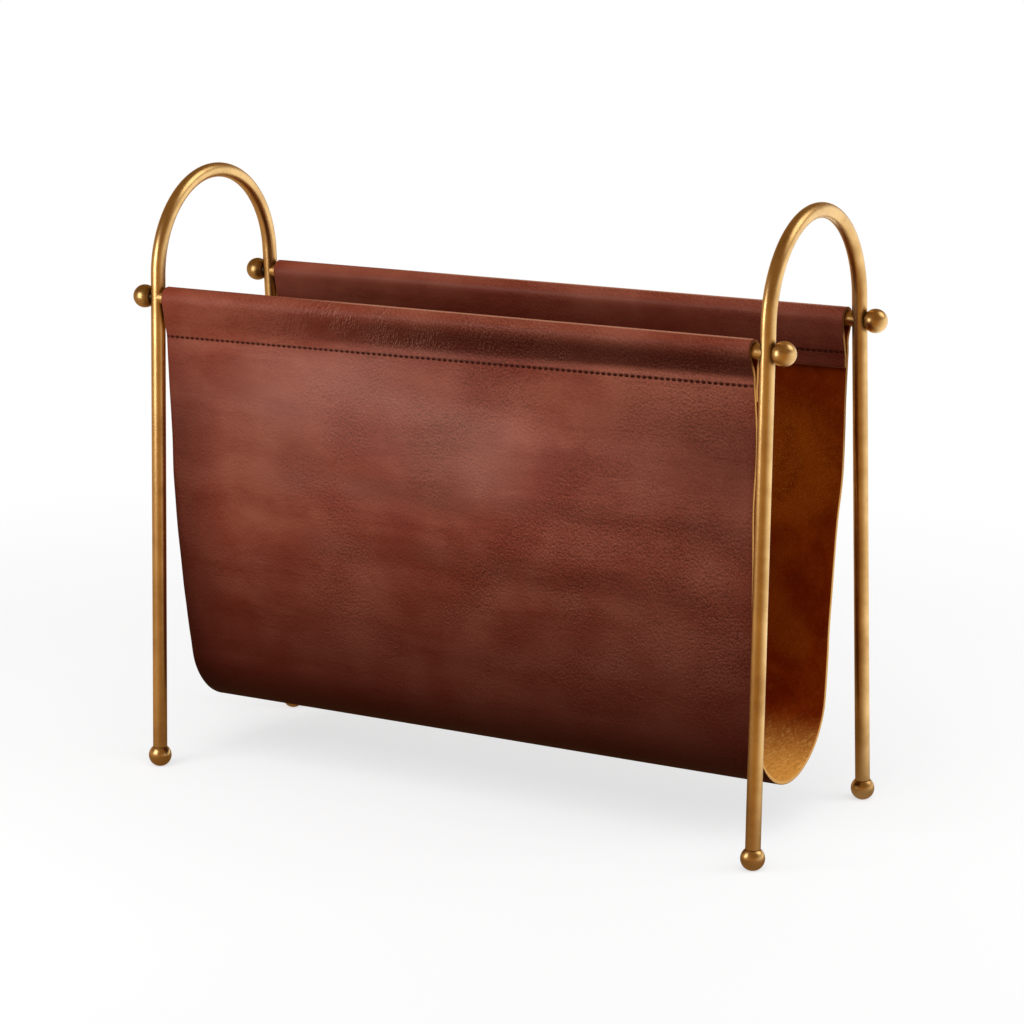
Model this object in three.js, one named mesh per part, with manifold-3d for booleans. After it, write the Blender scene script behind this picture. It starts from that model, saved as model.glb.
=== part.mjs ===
// Leather sling magazine rack: two brass hoops, two rods, eight balls and one hanging sling.
// Lengths are in millimetres and +Z is up. The origin lies on the ground under the middle of the rack,
// +X runs along the rods to the right and -Y is the front.
import * as THREE from "three";
import { mergeVertices } from "three/addons/utils/BufferGeometryUtils.js";
import Module from "manifold-3d";

const wasm = await Module();
wasm.setup();

// Sizes of the whole rack
const rackHeight = 395; // ground to the top of the arches
const rodDrop = 80.5; // top of the arches to the middle of the rods
const footSpread = 159; // between the two feet of one hoop

// Sizes of the bar that the hoops and rods are made of
const barDiameter = 9.5;
const archRadius = 64; // to the middle of the bar

// Sizes of the balls: the knobs at the rod ends and the feet are the same ball
const ballDiameter = 15.2;
const ballSeatDiameter = 10.2; // the flat that is turned on each ball where it meets the bar
const footRestDiameter = 5; // the small flat that a foot stands on

// Sizes of the threaded studs that hold the balls on
const studDiameter = 5;
const studChamfer = 0.6;
const studDepthInBall = 5;
const studDepthInBar = 8.5;
const holeClearance = 0.3; // around a stud, on the radius
const holeSpareDepth = 0.8; // left beyond a stud's end

// Clearance between pieces that touch on the real rack
const seatGap = 0.3;

// Sizes of the sling
const leatherThickness = 2.4;
const slingLength = 426; // along the rods
const slingEndRoom = 2.75; // between the sling and each leg, with the sling in the middle
const slingOffset = -0.5; // the sling sits this far along +X from the middle of the rods
const stitchDrop = 24; // rod middle to the stitched line of the hem
const flapDrop = 31; // rod middle to the raw end of the turned-in flap
const stitchLineHalfWidth = 67; // middle of the rack to the outside of the leather at the stitches
const sideRadius = 1500; // the gentle curve of the panels, on the outside
const floorRadius = 48.3; // the curve of the pocket's floor, on the outside
const floorHeight = 31.7; // ground to the underside of the sling

// How finely round shapes are cut into flats
const barSides = 24;
const archSteps = 32;
const legSteps = 1; // a straight leg needs no more
const ballSides = 24;
const ballRings = 12;
const studSides = 16;
const floorSteps = 24;
const sideSteps = 6;
const flapSteps = 2;
const hemSteps = 14;

// One overrun serves every cut
const cutOverrun = 2;

// Worked out from the sizes above
const hoopSteps = archSteps + 2 * legSteps;
const barRadius = barDiameter / 2;
const ballRadius = ballDiameter / 2;
const ballSeatDistance = Math.sqrt(ballRadius ** 2 - (ballSeatDiameter / 2) ** 2);
const footHeight = Math.sqrt(ballRadius ** 2 - (footRestDiameter / 2) ** 2);
const footHalfSpread = footSpread / 2;
const archHeight = rackHeight - barRadius - archRadius;
const rodHeight = rackHeight - rodDrop;
const holeRadius = studDiameter / 2 + holeClearance;
const hoopSpacing = slingLength + 2 * slingEndRoom + barDiameter;
const rodReach = hoopSpacing / 2;

// The legs run from the feet to where they touch the arch's circle, so that bar and arch flow together
const footToArch = Math.hypot(footHalfSpread, archHeight - footHeight);
const archStartAngle =
  Math.atan2(footHeight - archHeight, footHalfSpread) + Math.acos(archRadius / footToArch);
const archStart = new THREE.Vector2(
  archRadius * Math.cos(archStartAngle),
  archHeight + archRadius * Math.sin(archStartAngle),
);
const foot = new THREE.Vector2(footHalfSpread, footHeight);
const legDirection = archStart.clone().sub(foot).normalize();
const legTilt = Math.atan2(-legDirection.x, legDirection.y); // away from upright
const legEnd = foot.clone().addScaledVector(legDirection, ballSeatDistance + seatGap);

// Where a hoop's bar is at a height: its distance from the middle of the rack and its lean from upright
function hoopAt(height) {
  if (height < archStart.y) {
    const climbed = (height - foot.y) / (archStart.y - foot.y);
    return { halfWidth: foot.x + (archStart.x - foot.x) * climbed, tilt: legTilt };
  }
  const aboveCentre = height - archHeight;
  const halfWidth = Math.sqrt(archRadius ** 2 - aboveCentre ** 2);
  return { halfWidth, tilt: Math.atan2(aboveCentre, halfWidth) };
}

// The rods meet the hoops here
const rodSeat = hoopAt(rodHeight);
const rodHalfSpacing = rodSeat.halfWidth;

// Finishes
const brass = new THREE.MeshStandardMaterial({ color: 0xb5864b, roughness: 0.36, metalness: 1 });
const steel = new THREE.MeshStandardMaterial({ color: 0x9a9c9f, roughness: 0.42, metalness: 1 });
const leather = new THREE.MeshStandardMaterial({ color: 0x713528, roughness: 0.52, metalness: 0 });

// A closed mesh as a solid that can be cut
function solidOf(geometry) {
  const bare = geometry.clone();
  bare.deleteAttribute("normal");
  bare.deleteAttribute("uv");
  const merged = mergeVertices(bare);
  const vertProperties = new Float32Array(merged.attributes.position.array);
  const triVerts = new Uint32Array(merged.index.array);
  return new wasm.Manifold(new wasm.Mesh({ numProp: 3, vertProperties, triVerts }));
}

// A cut solid as a mesh again
function geometryOf(solid) {
  const { vertProperties, triVerts } = solid.getMesh();
  const geometry = new THREE.BufferGeometry();
  geometry.setAttribute("position", new THREE.BufferAttribute(new Float32Array(vertProperties), 3));
  geometry.setIndex(new THREE.BufferAttribute(new Uint32Array(triVerts), 1));
  geometry.computeVertexNormals();
  return geometry;
}

// A round rod along Z, from the low end to the high end
function roundBar(radius, lowEnd, highEnd, sides) {
  const bar = new THREE.CylinderGeometry(radius, radius, highEnd - lowEnd, sides);
  bar.rotateX(Math.PI / 2);
  bar.translate(0, 0, (lowEnd + highEnd) / 2);
  return bar;
}

// Points of an arc from one angle to another
function arcPoints(centre, radius, fromAngle, toAngle, steps) {
  return Array.from({ length: steps + 1 }, (unused, index) => {
    const angle = fromAngle + ((toAngle - fromAngle) * index) / steps;
    return new THREE.Vector2(
      centre.x + radius * Math.cos(angle),
      centre.y + radius * Math.sin(angle),
    );
  });
}

// The middle line of a hoop: a leg, the arch and the other leg, told by stations from foot to foot
class HoopLine extends THREE.Curve {
  getUtoTmapping(share) {
    return share;
  }

  getPoint(share) {
    const station = share * hoopSteps;
    const side = station <= hoopSteps / 2 ? 1 : -1;
    const fromFoot = Math.min(station, hoopSteps - station);
    if (fromFoot < legSteps) {
      const place = legEnd.clone().lerp(archStart, fromFoot / legSteps);
      return new THREE.Vector3(0, side * place.x, place.y);
    }
    const turned = (fromFoot - legSteps) / (archSteps / 2);
    const angle = archStartAngle + (Math.PI / 2 - archStartAngle) * turned;
    return new THREE.Vector3(
      0,
      side * archRadius * Math.cos(angle),
      archHeight + archRadius * Math.sin(angle),
    );
  }
}

// One bent bar with a cross hole for each knob's stud and a hole up each leg for the foot's stud
function hoopGeometry() {
  const section = new THREE.Shape(
    arcPoints(new THREE.Vector2(), barRadius, 0, 2 * Math.PI, barSides).slice(0, -1),
  );
  const bent = new THREE.ExtrudeGeometry(section, {
    extrudePath: new HoopLine(),
    steps: hoopSteps,
    bevelEnabled: false,
  });
  let hoop = solidOf(bent);
  for (const side of [-1, 1]) {
    const crossHole = roundBar(
      holeRadius,
      -barRadius - cutOverrun,
      barRadius + cutOverrun,
      studSides,
    );
    crossHole.rotateY(Math.PI / 2);
    crossHole.translate(0, side * rodHalfSpacing, rodHeight);
    const footHole = roundBar(holeRadius, -cutOverrun, studDepthInBar + holeSpareDepth, studSides);
    footHole.rotateX(side * legTilt);
    footHole.translate(0, side * legEnd.x, legEnd.y);
    hoop = hoop.subtract(solidOf(crossHole)).subtract(solidOf(footHole));
  }
  return geometryOf(hoop);
}

// A rod along X whose ends are hollowed to the round of the legs and bored for the knobs' studs
function rodGeometry(side) {
  const bar = roundBar(barRadius, -rodReach, rodReach, barSides);
  bar.rotateY(Math.PI / 2);
  let rod = solidOf(bar);
  const saddleHalfLength = barDiameter;
  const boreEnd = rodReach - barRadius - seatGap - studDepthInBar - holeSpareDepth;
  for (const end of [-1, 1]) {
    const saddle = roundBar(barRadius + seatGap, -saddleHalfLength, saddleHalfLength, barSides);
    saddle.rotateX(side * rodSeat.tilt);
    saddle.translate(end * rodReach, 0, 0);
    const bore = roundBar(holeRadius, boreEnd, rodReach, studSides);
    bore.rotateY((end * Math.PI) / 2);
    rod = rod.subtract(solidOf(saddle)).subtract(solidOf(bore));
  }
  return geometryOf(rod);
}

// A turned ball whose flat seat faces -Z, with a blind bore for the stud
function ballGeometry() {
  const centre = new THREE.Vector2();
  const seatAngle = Math.atan2(-ballSeatDistance, ballSeatDiameter / 2);
  const boreTop = studDepthInBall + holeSpareDepth - ballSeatDistance;
  const round = arcPoints(centre, ballRadius, seatAngle, Math.PI / 2, ballRings);
  round[round.length - 1].x = 0;
  const profile = [
    new THREE.Vector2(0, boreTop),
    new THREE.Vector2(holeRadius, boreTop),
    new THREE.Vector2(holeRadius, -ballSeatDistance),
    ...round,
  ];
  const ball = new THREE.LatheGeometry(profile, ballSides);
  ball.rotateX(Math.PI / 2);
  return ball;
}

// The same ball as a foot: turned over to sit on the leg's end, with its underside cut flat
function footGeometry(side) {
  const ball = ballGeometry();
  ball.rotateX(Math.PI + side * legTilt);
  const ground = new THREE.BoxGeometry(ballDiameter, ballDiameter, ballRadius);
  ground.translate(0, 0, -footHeight - ballRadius / 2);
  return geometryOf(solidOf(ball).subtract(solidOf(ground)));
}

// A threaded stud along Z with chamfered ends, shown without its fine thread
function studGeometry(length) {
  const radius = studDiameter / 2;
  const profile = [
    new THREE.Vector2(0, 0),
    new THREE.Vector2(radius - studChamfer, 0),
    new THREE.Vector2(radius, studChamfer),
    new THREE.Vector2(radius, length - studChamfer),
    new THREE.Vector2(radius - studChamfer, length),
    new THREE.Vector2(0, length),
  ];
  const stud = new THREE.LatheGeometry(profile, studSides);
  stud.rotateX(Math.PI / 2);
  return stud;
}

// Where the panel's big curve and the floor's small one meet.
// The big circle goes through the stitch line and holds the floor's circle, which touches it inside.
function panelCurve() {
  const floorCentre = new THREE.Vector2(0, floorHeight + floorRadius);
  const stitch = new THREE.Vector2(stitchLineHalfWidth, rodHeight - stitchDrop);
  const apart = floorCentre.clone().sub(stitch);
  const distance = apart.length();
  const centreDistance = sideRadius - floorRadius;
  const along = (sideRadius ** 2 - centreDistance ** 2 + distance ** 2) / (2 * distance);
  const across = Math.sqrt(sideRadius ** 2 - along ** 2);
  const unit = apart.divideScalar(distance);
  const inward = new THREE.Vector2(unit.y, -unit.x);
  const sideCentre = stitch.clone().addScaledVector(unit, along).addScaledVector(inward, across);
  const meetAngle = Math.atan2(floorCentre.y - sideCentre.y, floorCentre.x - sideCentre.x);
  const stitchAngle = Math.atan2(stitch.y - sideCentre.y, stitch.x - sideCentre.x);
  return { floorCentre, sideCentre, meetAngle, stitchAngle };
}

// The angle on a circle where a straight line from a point below touches it.
// The side is 1 for the outer face of the hem and -1 for the face towards the pocket.
function touchAngle(centre, radius, point, side) {
  const away = point.clone().sub(centre);
  return Math.atan2(away.y, away.x) + side * Math.acos(radius / away.length());
}

// The sling's cross-section: a U whose ends wrap over the rods and are stitched down inside.
// Points have the rack's Y as x and its Z as y.
function slingSection() {
  const { floorCentre, sideCentre, meetAngle, stitchAngle } = panelCurve();
  const rod = new THREE.Vector2(rodHalfSpacing, rodHeight);
  const pocketRadius = barRadius + seatGap;
  const wrapRadius = pocketRadius + leatherThickness;
  const panelInside = sideRadius - leatherThickness;
  const flapInside = panelInside - leatherThickness;
  const onPanel = (radius, angle) => arcPoints(sideCentre, radius, angle, angle, 1)[0];
  const flapAngle = Math.asin((rodHeight - flapDrop - sideCentre.y) / panelInside);
  const wrapStart = touchAngle(rod, wrapRadius, onPanel(sideRadius, stitchAngle), 1);
  const wrapEnd = touchAngle(rod, wrapRadius, onPanel(flapInside, stitchAngle), -1);
  const outside = [
    ...arcPoints(floorCentre, floorRadius, -Math.PI / 2, meetAngle, floorSteps / 2),
    ...arcPoints(sideCentre, sideRadius, meetAngle, stitchAngle, sideSteps).slice(1),
    ...arcPoints(rod, wrapRadius, wrapStart, wrapEnd + 2 * Math.PI, hemSteps),
  ];
  const inside = [
    ...arcPoints(sideCentre, flapInside, stitchAngle, flapAngle, flapSteps),
    ...arcPoints(sideCentre, panelInside, flapAngle, meetAngle, sideSteps),
    ...arcPoints(
      floorCentre,
      floorRadius - leatherThickness,
      meetAngle,
      -Math.PI / 2,
      floorSteps / 2,
    ).slice(1),
  ];
  const mirrored = (points) => points.map((p) => new THREE.Vector2(-p.x, p.y)).reverse();
  const rightHalf = [...outside, ...inside];
  const outline = [...rightHalf, ...mirrored(rightHalf.slice(1, -1))];

  // The rod's sleeve is a teardrop that closes at the stitches
  const sleeveFoot = onPanel(panelInside, stitchAngle);
  const sleeveStart = touchAngle(rod, pocketRadius, sleeveFoot, 1);
  const sleeveEnd = touchAngle(rod, pocketRadius, sleeveFoot, -1);
  const sleeve = [
    sleeveFoot,
    ...arcPoints(rod, pocketRadius, sleeveStart, sleeveEnd + 2 * Math.PI, hemSteps),
  ];
  const section = new THREE.Shape(outline);
  section.holes.push(new THREE.Path(sleeve), new THREE.Path(mirrored(sleeve)));
  return section;
}

// The section drawn out along the rods
function slingGeometry() {
  const sling = new THREE.ExtrudeGeometry(slingSection(), {
    depth: slingLength,
    bevelEnabled: false,
  });
  sling.translate(0, 0, -slingLength / 2);
  const turned = new THREE.Matrix4().makeBasis(
    new THREE.Vector3(0, 1, 0),
    new THREE.Vector3(0, 0, 1),
    new THREE.Vector3(1, 0, 0),
  );
  sling.applyMatrix4(turned);
  return sling;
}

function named(name, geometry, material) {
  const mesh = new THREE.Mesh(geometry, material);
  mesh.name = name;
  return mesh;
}

const ends = [
  { word: "left", sign: -1 },
  { word: "right", sign: 1 },
];
const sides = [
  { word: "front", sign: -1 },
  { word: "back", sign: 1 },
];

const rack = new THREE.Group();

// The two hoops stand at the ends of the rods, each on two ball feet
const footStudLength = studDepthInBall + seatGap + studDepthInBar;
for (const end of ends) {
  const hoop = new THREE.Group();
  hoop.position.x = (end.sign * hoopSpacing) / 2;
  hoop.add(named(`hoop_${end.word}`, hoopGeometry(), brass));
  for (const side of sides) {
    const ball = named(`foot_${side.word}_${end.word}`, footGeometry(side.sign), brass);
    ball.position.set(0, side.sign * foot.x, foot.y);
    const stud = named(
      `foot_stud_${side.word}_${end.word}`,
      studGeometry(footStudLength),
      steel,
    );
    const studStart = foot.clone().addScaledVector(legDirection, ballSeatDistance - studDepthInBall);
    stud.position.set(0, side.sign * studStart.x, studStart.y);
    stud.rotation.x = side.sign * legTilt;
    hoop.add(ball, stud);
  }
  rack.add(hoop);
}

// The rods join the hoops, and a knob with its stud holds each rod end against its leg
const knobStudLength = studDepthInBall + seatGap + barDiameter + seatGap + studDepthInBar;
const knobSeat = hoopSpacing / 2 + barRadius + seatGap;
for (const side of sides) {
  const rail = new THREE.Group();
  rail.position.set(0, side.sign * rodHalfSpacing, rodHeight);
  rail.add(named(`rod_${side.word}`, rodGeometry(side.sign), brass));
  for (const end of ends) {
    const turn = (end.sign * Math.PI) / 2;
    const knob = named(`knob_${side.word}_${end.word}`, ballGeometry(), brass);
    knob.position.x = end.sign * (knobSeat + ballSeatDistance);
    knob.rotation.y = turn;
    const stud = named(
      `knob_stud_${side.word}_${end.word}`,
      studGeometry(knobStudLength),
      steel,
    );
    stud.position.x = end.sign * (knobSeat + studDepthInBall - knobStudLength);
    stud.rotation.y = turn;
    rail.add(knob, stud);
  }
  rack.add(rail);
}

// The sling hangs from both rods
const sling = named("sling", slingGeometry(), leather);
sling.position.x = slingOffset;
rack.add(sling);

export default rack;
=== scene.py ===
# %% [markdown]
# A leather sling magazine rack
# The rack is two bent brass hoops on ball feet, two brass rods and one long piece of leather. The packed
# model already settles what carries and what moves. This lesson gives it its looks: smooth bars, turned
# balls, cut threads, and above all leather that is folded over the rods and stitched.
#
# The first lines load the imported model. Everything after them is built around it, in metres.

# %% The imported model
import math

import bpy
from mathutils import Matrix, Vector, noise


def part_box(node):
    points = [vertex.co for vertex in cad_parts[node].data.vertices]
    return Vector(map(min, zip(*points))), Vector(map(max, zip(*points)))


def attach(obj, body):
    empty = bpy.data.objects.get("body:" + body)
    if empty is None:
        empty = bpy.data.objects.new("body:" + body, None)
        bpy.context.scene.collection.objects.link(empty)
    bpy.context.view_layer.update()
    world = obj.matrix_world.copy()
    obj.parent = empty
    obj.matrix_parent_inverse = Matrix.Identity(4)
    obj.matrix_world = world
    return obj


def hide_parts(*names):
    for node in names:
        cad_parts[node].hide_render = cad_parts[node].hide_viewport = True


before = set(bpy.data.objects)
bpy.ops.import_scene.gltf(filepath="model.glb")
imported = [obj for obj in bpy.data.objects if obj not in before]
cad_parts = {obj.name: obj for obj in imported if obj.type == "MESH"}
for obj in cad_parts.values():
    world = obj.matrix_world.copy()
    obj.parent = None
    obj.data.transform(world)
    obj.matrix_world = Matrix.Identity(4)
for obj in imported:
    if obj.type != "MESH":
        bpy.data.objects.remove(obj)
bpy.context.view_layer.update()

# %% [markdown]
# Sizes
# A dressed piece has to sit exactly where its plain solid is, so most sizes are read off the solids. A
# round bar is as thick as its box, and a ball's middle is the middle of its box, as long as the flat on it
# is allowed for. What a box can't tell, such as the radius of the arch, is written once here.

# %% Sizes of the metalwork
ends = {"left": -1, "right": 1}
sides = {"front": -1, "back": 1}

rod_low, rod_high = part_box("rod_back")
bar_radius = (rod_high.z - rod_low.z) / 2
rod_spacing = (rod_high.y + rod_low.y) / 2
rod_height = (rod_high.z + rod_low.z) / 2

hoop_low, hoop_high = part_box("hoop_right")
hoop_place = (hoop_high.x + hoop_low.x) / 2
arch_radius = 0.064
arch_height = hoop_high.z - bar_radius - arch_radius

foot_low, foot_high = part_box("foot_back_right")
ball_radius = (foot_high.x - foot_low.x) / 2
seat_radius = 0.0051
rest_radius = 0.0025
seat_distance = math.sqrt(ball_radius**2 - seat_radius**2)
foot_height = math.sqrt(ball_radius**2 - rest_radius**2)
foot_spread = 0.0795
seat_gap = 0.0003
hole_radius = 0.0028

print(f"bars of {2000 * bar_radius:.2f} mm, balls of {2000 * ball_radius:.1f} mm")

# %% [markdown]
# The camera
# The photograph was taken with a long lens, a little above the rack and well to its right. A camera looks
# along its own -Z axis, so its place and turn follow from three directions: back from the rack to the
# camera, to the right in the picture, and up in it. The small roll is the tilt of the real camera.

# %% The camera
camera_turn = math.radians(30.49)
camera_rise = math.radians(12.99)
camera_roll = math.radians(-0.54)
camera_distance = 2.139
camera_target = Vector((0.0075, 0, 0.1823))
camera_lens = 116.9

back = Vector((
    math.sin(camera_turn) * math.cos(camera_rise),
    -math.cos(camera_turn) * math.cos(camera_rise),
    math.sin(camera_rise),
))
level = Vector((math.cos(camera_turn), math.sin(camera_turn), 0))
turned = Matrix((level, back.cross(level), back)).transposed() @ Matrix.Rotation(camera_roll, 3, "Z")
bpy.ops.object.camera_add(location=camera_target + camera_distance * back, rotation=turned.to_euler())
camera = bpy.context.object
camera.data.sensor_width = 36
camera.data.lens = camera_lens
bpy.context.scene.camera = camera
print("the camera stands at", [round(value, 3) for value in camera.location])

# %% [markdown]
# Writing materials as sums
# A material is a graph of nodes, and a sum of three values takes two Math nodes and five links by hand. A
# small class makes that readable. A Wire wraps one output socket, and its plus, minus, times and divide add
# the Math node. Every other node comes from Board.node, which sets a node's settings first, because some
# settings change which sockets it has, and then its sockets. Board.cover lays colours over each other in
# turn, as stain, wear and dirt do, and it lays painted light and shade in the same way.

# %% Wires and boards
class Wire:
    """One value in a material. Arithmetic on it adds Math nodes."""

    def __init__(self, board, socket):
        self.board = board
        self.socket = socket

    def maths(self, operation, *values):
        return self.board.node("Math", {"operation": operation}, dict(enumerate(values)))

    def __add__(self, other):
        return self.maths("ADD", self, other)

    def __radd__(self, other):
        return self.maths("ADD", other, self)

    def __sub__(self, other):
        return self.maths("SUBTRACT", self, other)

    def __rsub__(self, other):
        return self.maths("SUBTRACT", other, self)

    def __mul__(self, other):
        return self.maths("MULTIPLY", self, other)

    def __rmul__(self, other):
        return self.maths("MULTIPLY", other, self)

    def __truediv__(self, other):
        return self.maths("DIVIDE", self, other)

    def __pow__(self, other):
        return self.maths("POWER", self, other)

    def size(self):
        return self.maths("ABSOLUTE", self)

    def rise(self, low, high):
        """0 below low, 1 above high and smooth between. Low may be the larger one, for a fall."""
        sockets = {"Value": self, "From Min": low, "From Max": high}
        return self.board.node("MapRange", {"interpolation_type": "SMOOTHSTEP"}, sockets)


class Board:
    """The node graph of a material or of the world."""

    def __init__(self, owner):
        owner.use_nodes = True
        self.tree = owner.node_tree
        self.tree.nodes.clear()

    def node(self, kind, settings=None, sockets=None, output=0):
        made = self.tree.nodes.new("ShaderNode" + kind)
        for name, value in (settings or {}).items():
            setattr(made, name, value)
        for name, value in (sockets or {}).items():
            if isinstance(value, Wire):
                self.tree.links.new(value.socket, made.inputs[name])
            else:
                made.inputs[name].default_value = value
        return Wire(self, made.outputs[output]) if made.outputs else None

    def place(self, coordinates, stretch=(1, 1, 1), turn=0):
        """Object or UV coordinates, turned about Z and then stretched along each axis."""
        found = self.node("TexCoord", output=coordinates)
        rotated = self.node("Mapping", None, {"Vector": found, "Rotation": (0, 0, turn)})
        return self.node("Mapping", None, {"Vector": rotated, "Scale": stretch})

    def axes(self, where):
        """The X, Y and Z of a place or a direction, each as a wire."""
        split = self.node("SeparateXYZ", None, {0: where})
        return [Wire(self, output) for output in split.socket.node.outputs]

    def noise(self, where, scale, detail=2, roughness=0.5, distortion=0):
        sockets = {"Vector": where, "Scale": scale, "Detail": detail, "Roughness": roughness,
                   "Distortion": distortion}
        return self.node("TexNoise", None, sockets)

    def cells(self, where, scale):
        """How far each spot is from the middle of its cell, smooth across the borders."""
        return self.node("TexVoronoi", {"feature": "SMOOTH_F1"}, {"Vector": where, "Scale": scale})

    def warp(self, where, scale, reach):
        """The same coordinates, pushed about by noise."""
        push = self.node("TexNoise", None, {"Vector": where, "Scale": scale}, output=1)
        sockets = {0: push, 1: (2 * reach, 2 * reach, 0), 2: where}
        return self.node("VectorMath", {"operation": "MULTIPLY_ADD"}, sockets)

    def blend(self, factor, first, second):
        """The first colour where the factor is 0, and the second where it is 1."""
        return self.node("Mix", {"data_type": "RGBA"}, {0: factor, 6: first, 7: second}, output=2)

    def cover(self, colour, *layers):
        """Lays more colours over a first one, in turn. A layer is how much it covers, and its colour."""
        for amount, shade in layers:
            colour = self.blend(amount, colour, shade)
        return colour

    def bump(self, height, distance):
        return self.node("Bump", None, {"Height": height, "Distance": distance})

    def surface(self, **sockets):
        """The Principled surface. A socket's name is written with _ for each space."""
        named = {name.replace("_", " "): value for name, value in sockets.items()}
        shader = self.node("BsdfPrincipled", None, named)
        self.node("OutputMaterial", None, {"Surface": shader})


def new_material(name):
    material = bpy.data.materials.new(name)
    return material, Board(material)

# %% [markdown]
# Satin brass
# The bars and balls are brass that was rubbed along its length and left to darken. Four things tell it from
# plain yellow metal: fine scratches that all run one way, clouds of darker patina, brown tarnish where two
# pieces meet and no cloth reaches, which also carries painted contact shade there, and a roughness that
# varies with all of them. The knobs at the left end are painted darker, as shade. The scratches follow the
# bar round the arch, which Object coordinates can't do, so each brass piece gets a UV map in metres with U
# along the rubbing and V across it. The tarnish and its painted shade are placed by the distance from the
# axis of the knobs.

# %% Satin brass
brass, board = new_material("satin_brass")
scratches = board.noise(board.place("UV", (1, 60, 1)), 60, 3)
hairlines = board.noise(board.place("UV", (1, 30, 1)), 160, 2)
clouds = board.noise(board.place("Object"), 38, 4, 0.6)
specks = board.noise(board.place("Object"), 900, 2).rise(0.66, 0.76)
x, y, z = board.axes(board.place("Object"))
bar_face = hoop_place + bar_radius
from_axis = ((y.size() - rod_spacing) ** 2 + (z - rod_height) ** 2) ** 0.5
by_rod = z.rise(rod_height - 0.020, rod_height - 0.018)
on_knob = x.size().rise(bar_face, bar_face + 0.0002) * by_rod
on_leg = x.size().rise(bar_face - 0.0035, bar_face - 0.0010) * (1 - on_knob)
# Tarnish and painted contact shade: a dark ring on each knob at its seat, and on the leg round the knob's
# axis.
tarnish_and_contact_shade = x.size().rise(bar_face + 0.0034, bar_face + 0.0004) * on_knob * 0.75
tarnish_and_contact_shade = tarnish_and_contact_shade + from_axis.rise(0.0085, 0.0050) * on_leg
patina = clouds.rise(0.34, 0.72)
rubbed = (0.78, 0.53, 0.235, 1)
aged = (0.56, 0.34, 0.13, 1)
# Painted shade: the knobs at the left end are darker.
painted_left_knob_shade = (0.24, 0.15, 0.05, 1)
speck = (0.24, 0.12, 0.035, 1)
tarnish_and_shade_brown = (0.11, 0.045, 0.012, 1)
colour = board.cover(
    rubbed,
    (patina, aged),
    (x.rise(-bar_face, -bar_face - 0.001) * by_rod * 0.34, painted_left_knob_shade),
    (specks * 0.5, speck),
    (tarnish_and_contact_shade * 0.7, tarnish_and_shade_brown),
)
board.surface(
    Base_Color=colour,
    Metallic=1.0,
    Roughness=0.25 + 0.06 * patina + 0.08 * scratches + 0.15 * tarnish_and_contact_shade,
    Normal=board.bump(scratches + 0.5 * hairlines, 0.00001),
)

# %% [markdown]
# Steel
# The studs are plain steel screws. They show only while a knob is unscrewed, so a little streaking is
# enough.

# %% Steel
steel, board = new_material("stud_steel")
streaks = board.noise(board.place("Object", (4, 1, 1)), 400, 3)
board.surface(
    Base_Color=board.blend(streaks, (0.42, 0.42, 0.43, 1), (0.56, 0.56, 0.55, 1)),
    Metallic=1.0,
    Roughness=0.26 + 0.16 * streaks,
)

# %% [markdown]
# Working in edit mode
# Operators act on whatever is selected, and the loaded solids come in selected, so each piece starts from
# an empty selection. Faces are then picked in code by where they lie. Small helpers keep that short: one
# takes a piece in hand as the only one that is selected, one goes into edit mode and picks faces, and one
# applies a modifier as soon as it is added.

# %% Helpers for modelling
def start():
    if bpy.context.mode != "OBJECT":
        bpy.ops.object.mode_set(mode="OBJECT")
    bpy.ops.object.select_all(action="DESELECT")


def take(piece):
    """Makes a piece the only one that is selected, and the active one."""
    start()
    bpy.context.view_layer.objects.active = piece
    piece.select_set(True)


def edit(piece, keep=None):
    """Goes into edit mode with the faces selected whose middles pass the test, or all of them."""
    take(piece)
    bpy.ops.object.mode_set(mode="EDIT")
    bpy.ops.mesh.select_mode(type="FACE")
    bpy.ops.mesh.select_all(action="DESELECT" if keep else "SELECT")
    if keep:
        bpy.ops.object.mode_set(mode="OBJECT")
        for face in piece.data.polygons:
            face.select = bool(keep(face.center, face.normal))
        bpy.ops.object.mode_set(mode="EDIT")


def modify(piece, kind, **settings):
    """Adds a modifier, sets it and applies it."""
    take(piece)
    modifier = piece.modifiers.new(kind.lower(), kind)
    for name, value in settings.items():
        setattr(modifier, name, value)
    bpy.ops.object.modifier_apply(modifier=modifier.name)


def rest_here(piece, name, body, slot, *nodes, material=None):
    """Names a finished piece, puts its place into its mesh, and says what it rides on and stands for."""
    take(piece)
    bpy.ops.object.transform_apply(location=True, rotation=True, scale=True)
    piece.name = name
    piece.data.name = name
    if material:
        piece.data.materials.clear()
        piece.data.materials.append(material)
    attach(piece, body)
    if nodes:
        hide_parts(*nodes)
    return piece


def smooth(piece, degrees=35):
    take(piece)
    bpy.ops.object.shade_smooth_by_angle(angle=math.radians(degrees))


def drill(piece, radius, start_point, end_point, sides=48):
    """Cuts a round hole between two points."""
    start()
    way = end_point - start_point
    turn = way.to_track_quat("Z", "Y").to_euler()
    bpy.ops.mesh.primitive_cylinder_add(
        vertices=sides, radius=radius, depth=way.length,
        location=(start_point + end_point) / 2, rotation=turn,
    )
    drill_bit = bpy.context.object
    modify(piece, "BOOLEAN", object=drill_bit, operation="DIFFERENCE", solver="EXACT")
    bpy.data.objects.remove(drill_bit)


def lay_uv(piece, along_and_angle, radius):
    """A UV map in metres: U from a distance along the rubbing, V from an angle round the axis."""
    layer = piece.data.uv_layers.new(name="rubbing")
    for face in piece.data.polygons:
        middle = along_and_angle(face.center)[1]
        for index in face.loop_indices:
            corner = piece.data.vertices[piece.data.loops[index].vertex_index].co
            along, angle = along_and_angle(corner)
            angle += 2 * math.pi * round((middle - angle) / (2 * math.pi))
            layer.data[index].uv = (along, angle * radius)

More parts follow.
